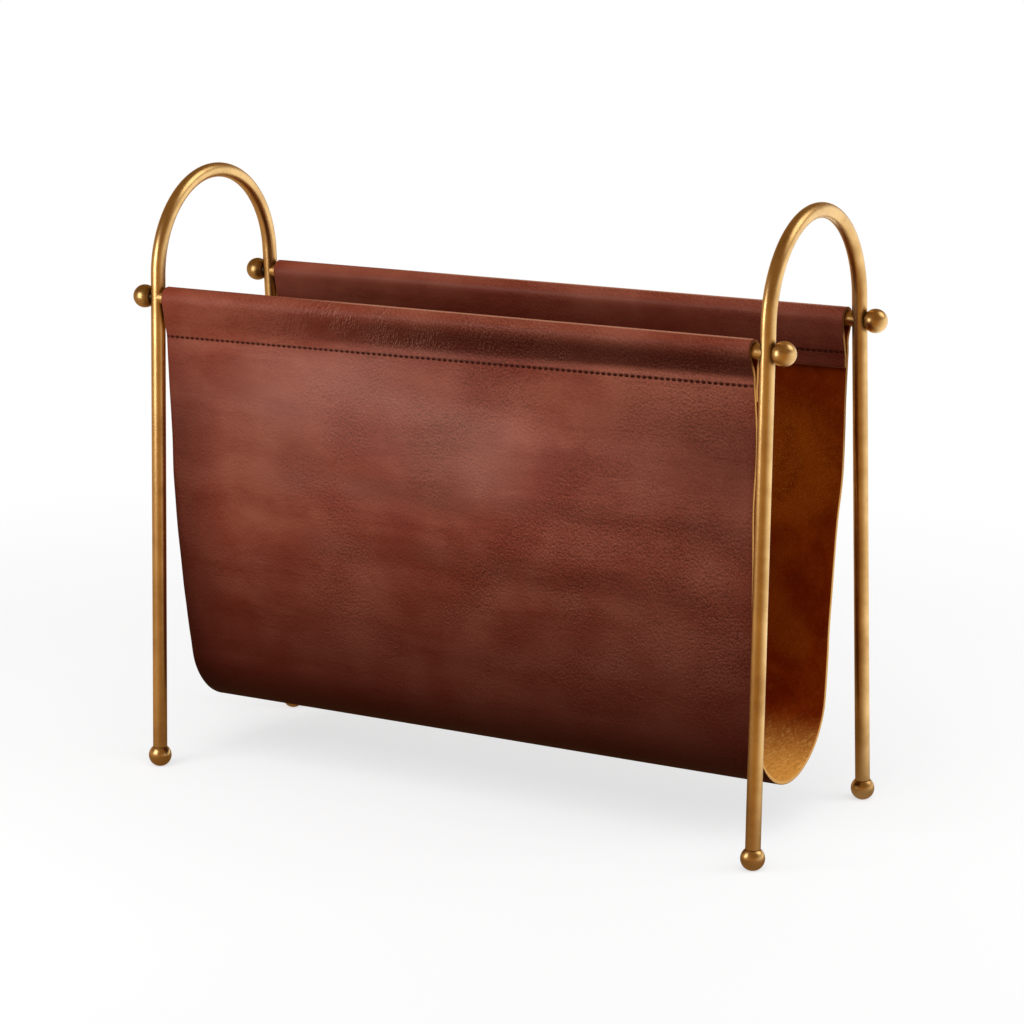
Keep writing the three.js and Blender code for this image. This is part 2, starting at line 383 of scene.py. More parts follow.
# %% [markdown]
# The hoops
# A hoop is one bar, bent over a round former. A curve with a round bevel would draw it in one go. Here it
# is made the way it is bent: a disc is extruded up one leg, spun over the arch and extruded down the other
# leg, which gives every section the same count of points and no pinch at the bends. The legs leave the arch
# where a straight line from the foot touches its circle, so bar and arch flow together.

# %% The line of a hoop
foot_to_arch = math.hypot(foot_spread, arch_height - foot_height)
arch_start = math.atan2(foot_height - arch_height, foot_spread) + math.acos(arch_radius / foot_to_arch)
bend_start = Vector((0, arch_radius * math.cos(arch_start), arch_height + arch_radius * math.sin(arch_start)))
foot_centre = Vector((0, foot_spread, foot_height))
leg_direction = (bend_start - foot_centre).normalized()
leg_end = foot_centre + (seat_distance + seat_gap) * leg_direction
leg_length = (bend_start - leg_end).length
stud_depth = 0.0093
bar_sides = 64
arch_steps = 96
merge_distance = 0.00001


def along_hoop(point):
    """How far a point lies along the hoop from the front foot, and its angle round the bar."""
    side = 1 if point.y > 0 else -1
    outward = side * point.y
    rise = point.z - arch_height
    turned = math.atan2(rise, outward)
    if turned > arch_start:
        from_foot = leg_length + arch_radius * (turned - arch_start)
        away = math.hypot(outward, rise) - arch_radius
    else:
        leg = Vector((0, outward, point.z)) - leg_end
        from_foot = leg.dot(leg_direction)
        away = leg.y * leg_direction.z - leg.z * leg_direction.y
    whole = 2 * leg_length + arch_radius * (math.pi - 2 * arch_start)
    return (from_foot if side < 0 else whole - from_foot), math.atan2(point.x, away)


# %% Bending and drilling the hoops
start()
tilt = math.atan2(-leg_direction.y, leg_direction.z)
bpy.ops.mesh.primitive_circle_add(
    vertices=bar_sides, radius=bar_radius, fill_type="NGON", location=leg_end, rotation=(tilt, 0, 0),
)
bar = bpy.context.object
bpy.ops.object.transform_apply(location=True, rotation=True, scale=True)
edit(bar)
leg = leg_direction * leg_length
bpy.ops.mesh.extrude_region_move(TRANSFORM_OT_translate={"value": leg})
bpy.ops.mesh.spin(
    steps=arch_steps, angle=math.pi - 2 * arch_start, center=(0, 0, arch_height), axis=(-1, 0, 0),
)
bpy.ops.mesh.extrude_region_move(TRANSFORM_OT_translate={"value": (0, leg.y, -leg.z)})
bpy.ops.mesh.select_all(action="SELECT")
bpy.ops.mesh.remove_doubles(threshold=merge_distance)
bpy.ops.mesh.normals_make_consistent(inside=False)
bpy.ops.object.mode_set(mode="OBJECT")
print("one hoop bar reaches", [round(value, 4) for value in bar.dimensions])

for side in sides.values():
    across = Vector((2 * bar_radius, 0, 0))
    cross_hole = Vector((0, side * rod_spacing, rod_height))
    drill(bar, hole_radius, cross_hole - across, cross_hole + across)
    up_leg = Vector((0, side * leg_direction.y, leg_direction.z))
    foot_end = Vector((0, side * leg_end.y, leg_end.z))
    drill(bar, hole_radius, foot_end - up_leg * bar_radius, foot_end + up_leg * stud_depth)
lay_uv(bar, along_hoop, bar_radius)
smooth(bar)

for end, sign in ends.items():
    hoop = bar.copy()
    hoop.data = bar.data.copy()
    bpy.context.collection.objects.link(hoop)
    hoop.location.x = sign * hoop_place
    rest_here(hoop, f"hoop_bar_{end}", "frame", "brass", f"hoop_{end}", material=brass)
bpy.data.objects.remove(bar)

# %% [markdown]
# The rods
# A rod is the same bar, cut so that its ends fit round the legs, as a plumber copes a pipe. A cylinder as
# thick as the leg is subtracted from each end, and a hole is drilled for the knob's stud. Only a few
# millimetres show beside the leather, but the fit of a bar against a bar is what a bench-made rack is
# judged by.

# %% The rods
cope_sides = 96
for word, side in sides.items():
    start()
    bpy.ops.mesh.primitive_cylinder_add(
        vertices=bar_sides, radius=bar_radius, depth=2 * hoop_place,
        location=(0, side * rod_spacing, rod_height), rotation=(0, math.pi / 2, 0),
    )
    rod = bpy.context.object
    up_leg = Vector((0, side * leg_direction.y, leg_direction.z)) * 3 * bar_radius
    for sign in ends.values():
        end_point = Vector((sign * hoop_place, side * rod_spacing, rod_height))
        into_rod = Vector((sign * (bar_radius + stud_depth), 0, 0))
        drill(rod, bar_radius + seat_gap, end_point - up_leg, end_point + up_leg, cope_sides)
        drill(rod, hole_radius, end_point - into_rod, end_point)
    take(rod)
    bpy.ops.object.transform_apply(location=True, rotation=True, scale=True)
    lay_uv(rod, lambda p: (p.x, math.atan2(p.y - side * rod_spacing, p.z - rod_height)), bar_radius)
    smooth(rod)
    rest_here(rod, f"rod_bar_{word}", "frame", "brass", f"rod_{word}", material=brass)

# %% [markdown]
# The balls
# Knobs and feet are one and the same turned ball. A ball from the lathe isn't a perfect sphere: it has a
# flat seat where it meets the bar, with a small broken edge, and a hole for its stud. A sphere is cut with
# bisect, its seat is inset for a rim and again for the hole, which is pushed in, and the edges are bevelled.
# The lathe leaves rings, so the rubbing runs round the ball and not along it. Bisect leaves points alone
# that lie within its threshold of the cut, and its usual tenth of a millimetre is too coarse for a part
# this small.

# %% One turned ball with its seat facing down
cut_threshold = 0.000001
rim_width = 0.0006
near_seat = 0.001
ball_hole_depth = 0.0058
ball_edge = 0.00022


def turned_ball(rest_cut=None):
    """A ball at the origin whose seat faces -Z. A foot also gets the small flat that it stands on."""
    start()
    bpy.ops.mesh.primitive_uv_sphere_add(segments=72, ring_count=36, radius=ball_radius)
    ball = bpy.context.object
    edit(ball)
    bpy.ops.mesh.bisect(
        plane_co=(0, 0, -seat_distance), plane_no=(0, 0, 1), use_fill=True, clear_inner=True,
        threshold=cut_threshold,
    )
    if rest_cut:
        bpy.ops.mesh.select_all(action="SELECT")
        bpy.ops.mesh.bisect(
            plane_co=rest_cut[0], plane_no=rest_cut[1], use_fill=True, clear_outer=True,
            threshold=cut_threshold,
        )
    edit(ball, lambda centre, normal: normal.z < -0.999 and centre.z < near_seat - seat_distance)
    bpy.ops.mesh.inset(thickness=rim_width)
    bpy.ops.mesh.inset(thickness=seat_radius - rim_width - hole_radius)
    bpy.ops.mesh.extrude_region_move(TRANSFORM_OT_translate={"value": (0, 0, ball_hole_depth)})
    bpy.ops.object.mode_set(mode="OBJECT")
    modify(ball, "BEVEL", width=ball_edge, segments=3, limit_method="ANGLE", angle_limit=math.radians(32))
    lay_uv(ball, lambda p: (p.z, math.atan2(p.y, p.x)), ball_radius)
    for loop in ball.data.uv_layers["rubbing"].data:
        loop.uv = (loop.uv[1], loop.uv[0])
    smooth(ball)
    return ball

# %% Knobs
knob_faces = {"left": -math.pi / 2, "right": math.pi / 2}
for word, side in sides.items():
    for end, sign in ends.items():
        knob = turned_ball()
        knob.rotation_euler = (0, knob_faces[end], 0)
        away = hoop_place + bar_radius + seat_gap + seat_distance
        knob.location = (sign * away, side * rod_spacing, rod_height)
        node = f"knob_{word}_{end}"
        rest_here(knob, f"{node}_ball", node, "brass", node, material=brass)

# %% Feet
for word, side in sides.items():
    up_leg = Vector((0, side * leg_direction.y, leg_direction.z))
    turn = (-up_leg).to_track_quat("Z", "Y")
    ground = turn.inverted() @ Vector((0, 0, -1))
    for end, sign in ends.items():
        ball = turned_ball((ground * foot_height, ground))
        ball.rotation_euler = turn.to_euler()
        ball.location = (sign * hoop_place, side * foot_spread, foot_height)
        node = f"foot_{word}_{end}"
        rest_here(ball, f"{node}_ball", "frame", "brass", node, material=brass)

# %% [markdown]
# Threaded studs
# When a knob is unscrewed its stud comes into view, and a smooth pin would look wrong there. A thread is a
# zigzag that climbs one pitch while it goes round once, which is just what the Screw modifier draws. The
# ends come out ragged, so they are cut square with bisect, and the two round holes that this leaves are
# filled.

# %% Threaded studs
stud_radius = 0.0025
pitch = 0.0008
thread_depth = 0.00046
thread_steps = 28
zigzag = [(0, 0), (0.42, 1), (0.54, 1), (0.94, 0), (1, 0)]


def threaded_stud(length):
    """A stud along Z that starts at the origin."""
    mesh = bpy.data.meshes.new("stud")
    points = [(stud_radius - thread_depth * (1 - tooth), 0, pitch * rise) for rise, tooth in zigzag]
    edges = [(index, index + 1) for index in range(len(points) - 1)]
    mesh.from_pydata(points, edges, [])
    stud = bpy.data.objects.new("stud", mesh)
    bpy.context.collection.objects.link(stud)
    turns = math.ceil(length / pitch) + 2
    modify(stud, "SCREW", axis="Z", angle=2 * math.pi, screw_offset=pitch, iterations=turns,
           steps=thread_steps, render_steps=thread_steps, use_merge_vertices=True,
           merge_threshold=merge_distance)
    edit(stud)
    bpy.ops.mesh.remove_doubles(threshold=merge_distance)
    for height, keep in ((pitch, "clear_inner"), (pitch + length, "clear_outer")):
        bpy.ops.mesh.select_all(action="SELECT")
        bpy.ops.mesh.bisect(
            plane_co=(0, 0, height), plane_no=(0, 0, 1), threshold=cut_threshold, **{keep: True},
        )
    bpy.ops.mesh.select_all(action="SELECT")
    bpy.ops.mesh.remove_doubles(threshold=cut_threshold)
    bpy.ops.mesh.fill_holes(sides=0)
    bpy.ops.mesh.select_all(action="SELECT")
    bpy.ops.mesh.normals_make_consistent(inside=False)
    bpy.ops.transform.translate(value=(0, 0, -pitch))
    bpy.ops.object.mode_set(mode="OBJECT")
    smooth(stud, 25)
    return stud


for word, side in sides.items():
    for end, sign in ends.items():
        node = f"knob_stud_{word}_{end}"
        low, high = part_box(node)
        stud = threaded_stud(high.x - low.x)
        stud.rotation_euler = (0, math.pi / 2, 0)
        stud.location = (low.x, side * rod_spacing, rod_height)
        rest_here(stud, f"{node}_thread", node, "steel", node, material=steel)
        hidden_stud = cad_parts[f"foot_stud_{word}_{end}"].data
        hidden_stud.materials.clear()
        hidden_stud.materials.append(steel)

# %% [markdown]
# The fold of the sling
# The sling is one long strip of leather. It hangs in a U, goes over each rod, comes down inside and is
# stitched to itself. It could be drawn as a solid section and pulled out along the rods, but then its two
# sides, its edge and its grain would have to be painted on. Here it starts as the flat strip that is cut
# from the hide and is folded like the real one, so each spot keeps its place on the strip, and the grain,
# the flesh side and the cut edges come by themselves.
#
# The fold is a chain of arcs and straight lines. It is worked out for the middle of the leather's
# thickness, from the floor of the pocket up the back panel, over the back rod and down inside.

# %% The fold of the sling
leather = 0.0024
sling_low, sling_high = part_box("sling")
sling_length = sling_high.x - sling_low.x
sling_middle = (sling_high.x + sling_low.x) / 2
stitch_drop = 0.024
seam_low = -0.0008
seam_high = 0.0032
seam_pitch = 0.004
seam_inset = 0.0026
flap_drop = 0.031
stitch_half_width = 0.067
side_radius = 1.5
floor_radius = 0.0483
floor_height = sling_low.z
layer_gap = 0.00005


def circle_point(centre, radius, angle):
    return centre + radius * Vector((math.cos(angle), math.sin(angle)))


def touch_angle(centre, radius, point, side):
    """Where on a circle a straight line from the point touches it."""
    away = point - centre
    return math.atan2(away.y, away.x) + side * math.acos(radius / away.length)


def panel_centre():
    """The middle of the panel's big circle, which passes the stitches and holds the floor's circle."""
    floor = Vector((0, floor_height + floor_radius))
    stitch = Vector((stitch_half_width, rod_height - stitch_drop))
    apart = floor - stitch
    reach = side_radius - floor_radius
    along = (side_radius**2 - reach**2 + apart.length**2) / (2 * apart.length)
    across = math.sqrt(side_radius**2 - along**2)
    way = apart.normalized()
    return floor, stitch, stitch + way * along + Vector((way.y, -way.x)) * across


floor_centre, stitch_point, side_centre = panel_centre()
rod_centre = Vector((rod_spacing, rod_height))
meet = math.atan2(floor_centre.y - side_centre.y, floor_centre.x - side_centre.x)
stitch_angle = math.atan2(stitch_point.y - side_centre.y, stitch_point.x - side_centre.x)
panel_middle = side_radius - leather / 2
flap_middle = side_radius - 1.5 * leather - layer_gap
wrap_middle = bar_radius + seat_gap + leather / 2
flap_angle = math.asin((rod_height - flap_drop - side_centre.y) / flap_middle)
outer_stitch = circle_point(side_centre, panel_middle, stitch_angle)
inner_stitch = circle_point(side_centre, flap_middle, stitch_angle)
wrap_start = touch_angle(rod_centre, wrap_middle, outer_stitch, 1)
wrap_end = touch_angle(rod_centre, wrap_middle, inner_stitch, -1) + 2 * math.pi

# %% [markdown]
# A chain of arcs and lines is easiest to walk along when each link knows its length. The walk returns the
# place in the section and the direction that faces the grain side there. Its length is half of the flat
# strip, because front and back are alike.

# %% Walking along the fold
def arc(centre, radius, first, last):
    length = radius * abs(last - first)

    def at(share):
        angle = first + (last - first) * share
        return circle_point(centre, radius, angle), Vector((math.cos(angle), math.sin(angle)))

    return length, at


def line(first, last):
    way = (last - first).normalized()
    return (last - first).length, lambda share: (first.lerp(last, share), Vector((way.y, -way.x)))


def inward(link):
    """The same link with its grain side turned to the middle of the circle."""
    length, at = link
    return length, lambda share: (at(share)[0], -at(share)[1])


links = [
    arc(floor_centre, floor_radius - leather / 2, -math.pi / 2, meet),
    arc(side_centre, panel_middle, meet, stitch_angle),
    line(outer_stitch, circle_point(rod_centre, wrap_middle, wrap_start)),
    arc(rod_centre, wrap_middle, wrap_start, wrap_end),
    line(circle_point(rod_centre, wrap_middle, wrap_end), inner_stitch),
    inward(arc(side_centre, flap_middle, stitch_angle, flap_angle)),
]
passed = [sum(length for length, at in links[:count]) for count in range(len(links) + 1)]
half_strip = passed[-1]
seam_outside, roll_start, roll_end, seam_inside = passed[2], passed[3], passed[4], passed[5]
crest_angle = math.radians(88)
crest_distance = roll_start + wrap_middle * (crest_angle - wrap_start)


def seam_shift(u):
    """How much nearer to the rod the stitches run than planned. u may also be a wire."""
    return seam_low + (seam_high - seam_low) * (u / sling_length + 0.5)


def section_at(distance):
    """Place and outward direction at a distance along the strip, which is negative on the front half."""
    side = 1 if distance >= 0 else -1
    left = abs(distance)
    for start_length, (length, at) in zip(passed, links):
        if left <= start_length + length or start_length == passed[-2]:
            place, out = at(min(1, (left - start_length) / length))
            return Vector((side * place.x, place.y)), Vector((side * out.x, out.y))


print(f"the flat strip is {1000 * sling_length:.0f} by {2000 * half_strip:.0f} mm")

# %% [markdown]
# Slack in the leather
# Real leather never hangs in a perfect curve. Several things move it here, each as smooth as leather is
# stiff. Slow noise makes broad soft bulges, and a noise that is stretched along the rods makes the shallow
# folds that lie level across the panels. The front seam is drawn in under its rod towards the right, and
# the outer layer of both hems is hollow there, which gives the front one an S in its section. But for that
# hollow and their ends, the layers of a hem move alike, so that they never cut into each other. The pocket
# hangs a few millimetres to the front, more so at its right end, and its floor lies a millimetre up. The
# cut ends wander, mostly inwards because the legs are near, and the right one runs in a little towards the
# floor. But for the ends, all movement dies away at the rods, which hold the leather in shape. The noise is
# the same on every run.

# %% Slack in the leather
bulge_depth = 0.0016
fold_depth = 0.0007
drawn_in = 0.0033
hem_hollow = 0.0026
sway_left = 0.0018
sway_right = 0.0048
floor_lift = 0.0012
end_wander = 0.0011
end_inwards_share = 0.3
end_skew = 0.0022
panel_top = rod_height - stitch_drop
hollow_end = roll_start + 0.004


def fade(value, low, high):
    share = min(1, max(0, (value - low) / (high - low)))
    return share * share * (3 - 2 * share)


def bump_at(value, middle, reach):
    return math.exp(-((value - middle) / reach) ** 2)


def to_right(x):
    """0 at the left end of the sling and 1 at its right end."""
    return fade(x, sling_low.x, sling_high.x)


def slack(x, z, side):
    """How far the leather stands out of its fold, away from the middle of the rack."""
    held = fade(z, rod_height - 0.001, panel_top + 0.004)
    free = fade(z, rod_height - 0.010, panel_top - 0.045) * fade(z, floor_height, floor_height + 0.05)
    slow = noise.noise(Vector((x * 7, z * 11, 3.7 * side)))
    slow += 0.3 * noise.noise(Vector((x * 17, z * 26, 9.1 * side)))
    level = noise.noise(Vector((x * 4.5, z * 36 + x * 5, 5.9 * side)))
    seam_in = drawn_in * to_right(x) * bump_at(z, panel_top - 0.025, 0.040) if side < 0 else 0
    return free * (bulge_depth * slow + fold_depth * level) - held * seam_in


def sway(x, z):
    """How far the pocket hangs to the front."""
    return (sway_left + (sway_right - sway_left) * to_right(x)) * fade(z, panel_top - 0.02, panel_top - 0.13)


def folded(u, distance):
    """The place in the rack of a point of the flat strip."""
    place, out = section_at(distance)
    side = 1 if distance >= 0 else -1
    end_share = 2 * u / sling_length
    uneven = noise.noise(Vector((distance * 21, 5.3, side))) - end_inwards_share
    wander = end_wander * uneven * abs(end_share) ** 3
    skew = end_skew * max(0, end_share) ** 3 * fade(place.y, panel_top, floor_height)
    x = sling_middle + u + wander * (1 if u > 0 else -1) - skew
    stand_out = slack(x, place.y, side)
    if seam_outside < abs(distance) < hollow_end:
        share = (abs(distance) - seam_outside) / (hollow_end - seam_outside)
        stand_out -= hem_hollow * fade(x, -0.17, 0.04) * fade(share, 0, 0.42) * fade(share, 1, 0.42)
    lift = floor_lift * fade(place.y, floor_height + 0.06, floor_height)
    return Vector((x, place.x + side * stand_out - sway(x, place.y), place.y + lift))

# %% [markdown]
# Folding the strip
# The strip is a grid with its own UV map. The map is set to metres on the flat leather, the grid is folded,
# and Solidify gives it its thickness, with one material slot each for the grain side, the flesh side and
# the cut edges. A small bevel breaks the edges, as a maker's edge tool does.

# %% Folding the strip
columns = 124
rows = 300
edge_round = 0.0003
start()
bpy.ops.mesh.primitive_grid_add(x_subdivisions=columns, y_subdivisions=rows, size=1)
sling = bpy.context.object
for vertex in sling.data.vertices:
    vertex.co = Vector((vertex.co.x * sling_length, vertex.co.y * 2 * half_strip, 0))
flat_map = sling.data.uv_layers.active
flat_map.name = "flat_leather"
for loop in sling.data.loops:
    flat_map.data[loop.index].uv = sling.data.vertices[loop.vertex_index].co.xy
for vertex in sling.data.vertices:
    vertex.co = folded(vertex.co.x, vertex.co.y)

sling.data.materials.clear()
for name in ("leather_grain", "leather_flesh", "leather_edge"):
    sling.data.materials.append(bpy.data.materials.new(name))
edit(sling)
bpy.ops.mesh.normals_make_consistent(inside=False)
bpy.ops.object.mode_set(mode="OBJECT")
floor_face = min(sling.data.polygons, key=lambda face: face.center.z)
if floor_face.normal.z > 0:
    edit(sling)
    bpy.ops.mesh.flip_normals()
one_side = len(sling.data.vertices)
modify(sling, "SOLIDIFY", thickness=leather, offset=0, use_even_offset=True, use_rim=True,
       material_offset=1, material_offset_rim=2)
lowest = min(range(len(sling.data.vertices)), key=lambda index: sling.data.vertices[index].co.z)
grain_comes_first = lowest < one_side
depth = sling.data.attributes.new("depth", "FLOAT", "POINT")
for index in range(len(sling.data.vertices)):
    depth.data[index].value = 0 if (index < one_side) == grain_comes_first else 1
modify(sling, "BEVEL", width=edge_round, segments=2, limit_method="ANGLE", angle_limit=math.radians(60),
       material=2)
smooth(sling, 60)
print("the sling has", len(sling.data.polygons), "faces")

# %% [markdown]
# Leather, seen from its grain side
# The outside is smooth waxed leather. From near it has a pebbled grain with fine creases between the pebbles,
# and painted light and shade on it: each pebble is painted paler on one flank and darker on the other, and
# the crevices between the pebbles are painted darker as shade. From a step away it shows clouds of lighter
# colour and more shine where the wax was worked in, a painted highlight high on the panels, painted shade
# along two level folds, towards the ends and the bottom, in the hollow of each hem and on the layer turned in
# under each rod, and short slanted creases where it turns over the rods. A painted highlight runs along the
# crest of each hem. All of it is placed on the flat strip, as it was on the hide. Cells make the pebbles, and
# they are pushed about by noise first, because grain never has straight borders. The painted light and shade
# on a pebble come from noise less the same noise a little further on, which is bright on one flank of each
# bump and dark on the other. The creases get a bump and painted light and shade on their flanks in the same
# way, and each stitch pulls a small pit into the leather, which is painted darker as shade.

# %% Leather, grain side: patterns
board = Board(sling.data.materials[0])
flat = board.place("UV")
along, across = board.axes(flat)[:2]
down = across.size()

broad = board.noise(flat, 9, 3, 0.55)
patches = board.noise(flat, 34, 4, 0.6, 0.4)
levels = board.noise(board.place("UV", (0.2, 1, 1)), 42, 3, 0.55, 0.4)
mottle = board.noise(flat, 240, 3, 0.6)
grain_map = board.warp(flat, 900, 0.0005)
pebbles = board.cells(grain_map, 700)
# Painted shade in the crevices between the pebbles.
crevice_shade = pebbles.rise(0.42, 0.66)
fine = board.noise(flat, 1500, 2)
coarse = 0.4 + 0.6 * board.noise(flat, 14, 2).rise(0.38, 0.62)
# Painted light and shade on the pebbles: the lit flank is painted paler and the shaded flank darker.
grain_shifted = board.node("VectorMath", {"operation": "ADD"}, {0: grain_map, 1: (0.0003, -0.0005, 0)})
relief = board.noise(grain_map, 620, 2, 0.6) - board.noise(grain_shifted, 620, 2, 0.6)
pressed_flat = down.rise(crest_distance + 0.002, crest_distance + 0.010)
open_grain = coarse * (0.25 + 0.75 * down.rise(0.05, 0.13)) * (0.35 + 0.65 * along.rise(-0.19, -0.04))
open_grain = open_grain * (1 - 0.75 * pressed_flat)
lit_side = relief.rise(0.02, 0.16) * open_grain
shaded_flank = relief.rise(-0.02, -0.16) * open_grain
wrinkled = levels.rise(0.50, 0.38)
wrinkles = board.noise(board.place("UV", (0.3, 1, 1)), 480, 3, 0.6, 0.8)
crease_map = board.place("UV", (1, 0.3, 1), math.radians(-28))
creases = board.noise(crease_map, 620, 3, 0.6, 1.2)
# Painted light and shade on the flanks of the slanted creases.
crease_shifted = board.node("VectorMath", {"operation": "ADD"}, {0: crease_map, 1: (0.0006, 0, 0)})
crease_relief = creases - board.noise(crease_shifted, 620, 3, 0.6, 1.2)
roll = down.rise(seam_outside + 0.001, seam_outside + 0.012) * down.rise(roll_end, roll_start + 0.006)
creased = roll * (along + 0.045).size().rise(0.11, 0.02) * board.noise(flat, 40, 2).rise(0.36, 0.56)

# %% Leather, grain side: stitch pits
def pits(distance, way):
    """A small pit round each stitch of the row at this distance along the strip."""
    turns = (along + (sling_length / 2 - seam_inset)) / seam_pitch
    beside = (board.node("Math", {"operation": "FRACT"}, {0: turns}) - 0.5) * seam_pitch
    below = down - distance - way * seam_shift(along)
    return ((beside * beside * 0.30 + below * below) ** 0.5).rise(0.0013, 0.0006)


# The pits are also painted darker, as shade in them.
pit = pits(seam_outside, 1) + pits(seam_inside, -1)

# %% Leather, grain side: clouds
def cloud(u, v, width, height):
    """A soft round patch on the flat strip."""
    return (((along - u) / width) ** 2 + ((down - v) / height) ** 2).rise(1.4, 0.1)


waxed = cloud(-0.055, 0.235, 0.13, 0.065)
dull = cloud(-0.150, 0.225, 0.06, 0.055) + 0.8 * cloud(0.012, 0.220, 0.045, 0.035)
# A painted highlight high on the panels.
painted_hot_spot = cloud(-0.060, 0.262, 0.07, 0.022)

# %% Leather, grain side: surface
light = (0.44, 0.120, 0.068, 1)
middle = (0.27, 0.043, 0.019, 1)
dark = (0.052, 0.0042, 0.0009, 1)
# This colour is used only for painted light: on the lit flanks of pebbles and creases, and along the crest of
# the hems.
painted_highlight = (0.60, 0.27, 0.17, 1)
upper_band = 0.196
lower_band = 0.156
tone = 0.51 * broad + 0.21 * patches + 0.28 * levels
# Painted shade: darker towards the bottom of the pocket.
painted_bottom_shade = down.rise(0.23, 0.02)
hem_low = seam_outside + 0.003 + 0.002 * along.rise(0.05, 0.17)
# Painted shade in the hollow of each hem, above its seam.
hem = (down - hem_low).rise(0, 0.006) * down.rise(roll_start + 0.009, seam_outside + 0.017)
hem = hem * along.rise(-0.24, 0.04)
# Painted shade towards both ends of the strip.
left_end_shade = along.rise(-0.165, -0.211) * down.rise(0.33, 0.22)
below_hem = down.rise(seam_outside - 0.002, seam_outside - 0.030)
right_end_shade = along.rise(0.04, 0.21) * down.rise(0.13, 0.24) * below_hem
turned_over = down.rise(roll_start - 0.002, crest_distance - 0.002)
# Painted shade on the layer turned in under each rod and hanging inside the pocket.
tucked_in = down.rise(crest_distance + 0.004, seam_inside)
# Painted shade along two level folds.
wandering = down + 0.030 * (broad - 0.5)
fold_shade_bands = (wandering - upper_band).size().rise(0.012, 0.002)
fold_shade_bands = fold_shade_bands + (wandering - lower_band).size().rise(0.014, 0.003)
# A painted highlight along the crest of each hem.
painted_crest_highlight = (down - crest_distance).size().rise(0.0021, 0.0011) * along.rise(-0.13, -0.05)
colour = board.cover(
    middle,
    (tone.rise(0.38, 0.64), light),
    (fold_shade_bands * along.rise(-0.17, -0.08) * patches.rise(0.30, 0.60) * 0.26, dark),
    (dull * 0.20, dark),
    (painted_hot_spot * 0.30, light),
    (painted_bottom_shade * 0.92, dark),
    (left_end_shade * 0.62, dark),
    (right_end_shade * 0.42, dark),
    (hem * 0.80, dark),
    (turned_over * 0.36, dark),
    (tucked_in * 0.45, dark),
    (crevice_shade * open_grain * 0.20, dark),
    (lit_side * 0.16, painted_highlight),
    (shaded_flank * 0.32, dark),
    # Painted shade in the fine wrinkles.
    (wrinkled * wrinkles.rise(0.50, 0.38) * 0.16, dark),
    (creased * crease_relief.rise(0.03, 0.16) * 0.36, painted_highlight),
    (creased * crease_relief.rise(-0.03, -0.16) * 0.56, dark),
    (pit * 0.8, dark),
    (painted_crest_highlight * 0.6, painted_highlight),
)
height = 0.12 * mottle - 0.90 * pebbles * open_grain + 0.14 * fine
height = height + 0.30 * creases * creased + 0.25 * wrinkles * wrinkled - 0.5 * pit
shine = down.rise(0.06, 0.26) * (0.34 + 0.66 * waxed) * (1 - 0.75 * hem) * (1 - 0.35 * roll)
shine = shine * (1 - 0.8 * tucked_in)
board.surface(
    Base_Color=colour,
    Roughness=0.52 + 0.12 * patches,
    Specular_IOR_Level=0.08,
    Coat_Weight=shine,
    Coat_Roughness=0.42,
    Normal=board.bump(height, 0.001),
)

# %% [markdown]
# Leather, seen from its flesh side
# The inside is the flesh side of the hide: a soft nap of short fibres without any shine. It is smooth and
# dark higher up, and curly in the round of the pocket, where it is pressed together and nothing wears it. The
# round of the pocket is also painted pale and golden, as painted light falling onto the pocket's floor. Where
# papers slide in at the right end it is rubbed up to golden flecks. Strongly warped noise makes the curls,
# and a broad noise gives the clouds in the nap.

# %% Leather, flesh side
board = Board(sling.data.materials[1])
flat = board.place("UV")
along, across = board.axes(flat)[:2]
down = across.size()
nap = board.noise(flat, 30, 4, 0.65, 0.8)
curl_map = board.warp(board.place("UV", (1, 0.6, 1), math.radians(35)), 260, 0.003)
curls = board.noise(curl_map, 560, 3, 0.55, 1.0)
raised = 0.05 + 0.95 * down.rise(0.062, 0.025)
rubbed_up = (((along - 0.170) / 0.050) ** 2 + ((down - 0.215) / 0.045) ** 2).rise(1.4, 0.1)
cloudy = board.noise(flat, 13, 2, 0.4, 0.3).rise(0.50, 0.66)
glow = cloudy * 0.6 + rubbed_up * (0.4 + 0.6 * nap.rise(0.35, 0.6))
flecks = board.noise(flat, 1000, 3, 0.6).rise(0.52, 0.66)
nap_dark = (0.17, 0.015, 0.0003, 1)
nap_light = (0.24, 0.029, 0.0006, 1)
nap_glow = (0.33, 0.062, 0.002, 1)
golden = (0.50, 0.19, 0.022, 1)
# Painted light: the round of the pocket is painted pale and golden.
painted_pocket_floor_light = (0.80, 0.35, 0.065, 1)
curl_light = (0.95, 0.52, 0.14, 1)
curl_dark = (0.22, 0.045, 0.003, 1)
colour = board.cover(
    nap_dark,
    (nap.rise(0.35, 0.68), nap_light),
    (glow * 0.6, nap_glow),
    (flecks * (0.25 * cloudy + 0.45 * rubbed_up), golden),
    (down.rise(0.060, 0.010), painted_pocket_floor_light),
    (curls.rise(0.50, 0.68) * raised * 0.5, curl_light),
    (curls.rise(0.46, 0.34) * raised * 0.34, curl_dark),
)
board.surface(
    Base_Color=colour,
    Roughness=0.94,
    Specular_IOR_Level=0.03,
    Normal=board.bump(curls * raised, 0.0006),
)

# %% [markdown]
# Cut edges
# The ends of the strip are raw. The dye of the grain side has gone a little way in, then come pale tan
# fibres, and next to the flesh side the edge is rubbed brown. Round the rods it is darker all over. A pattern
# across the edge needs to know how deep in the leather it is, and no map tells that, so each point of the
# sling got a depth just after Solidify: 0 on the grain side and 1 on the flesh side.

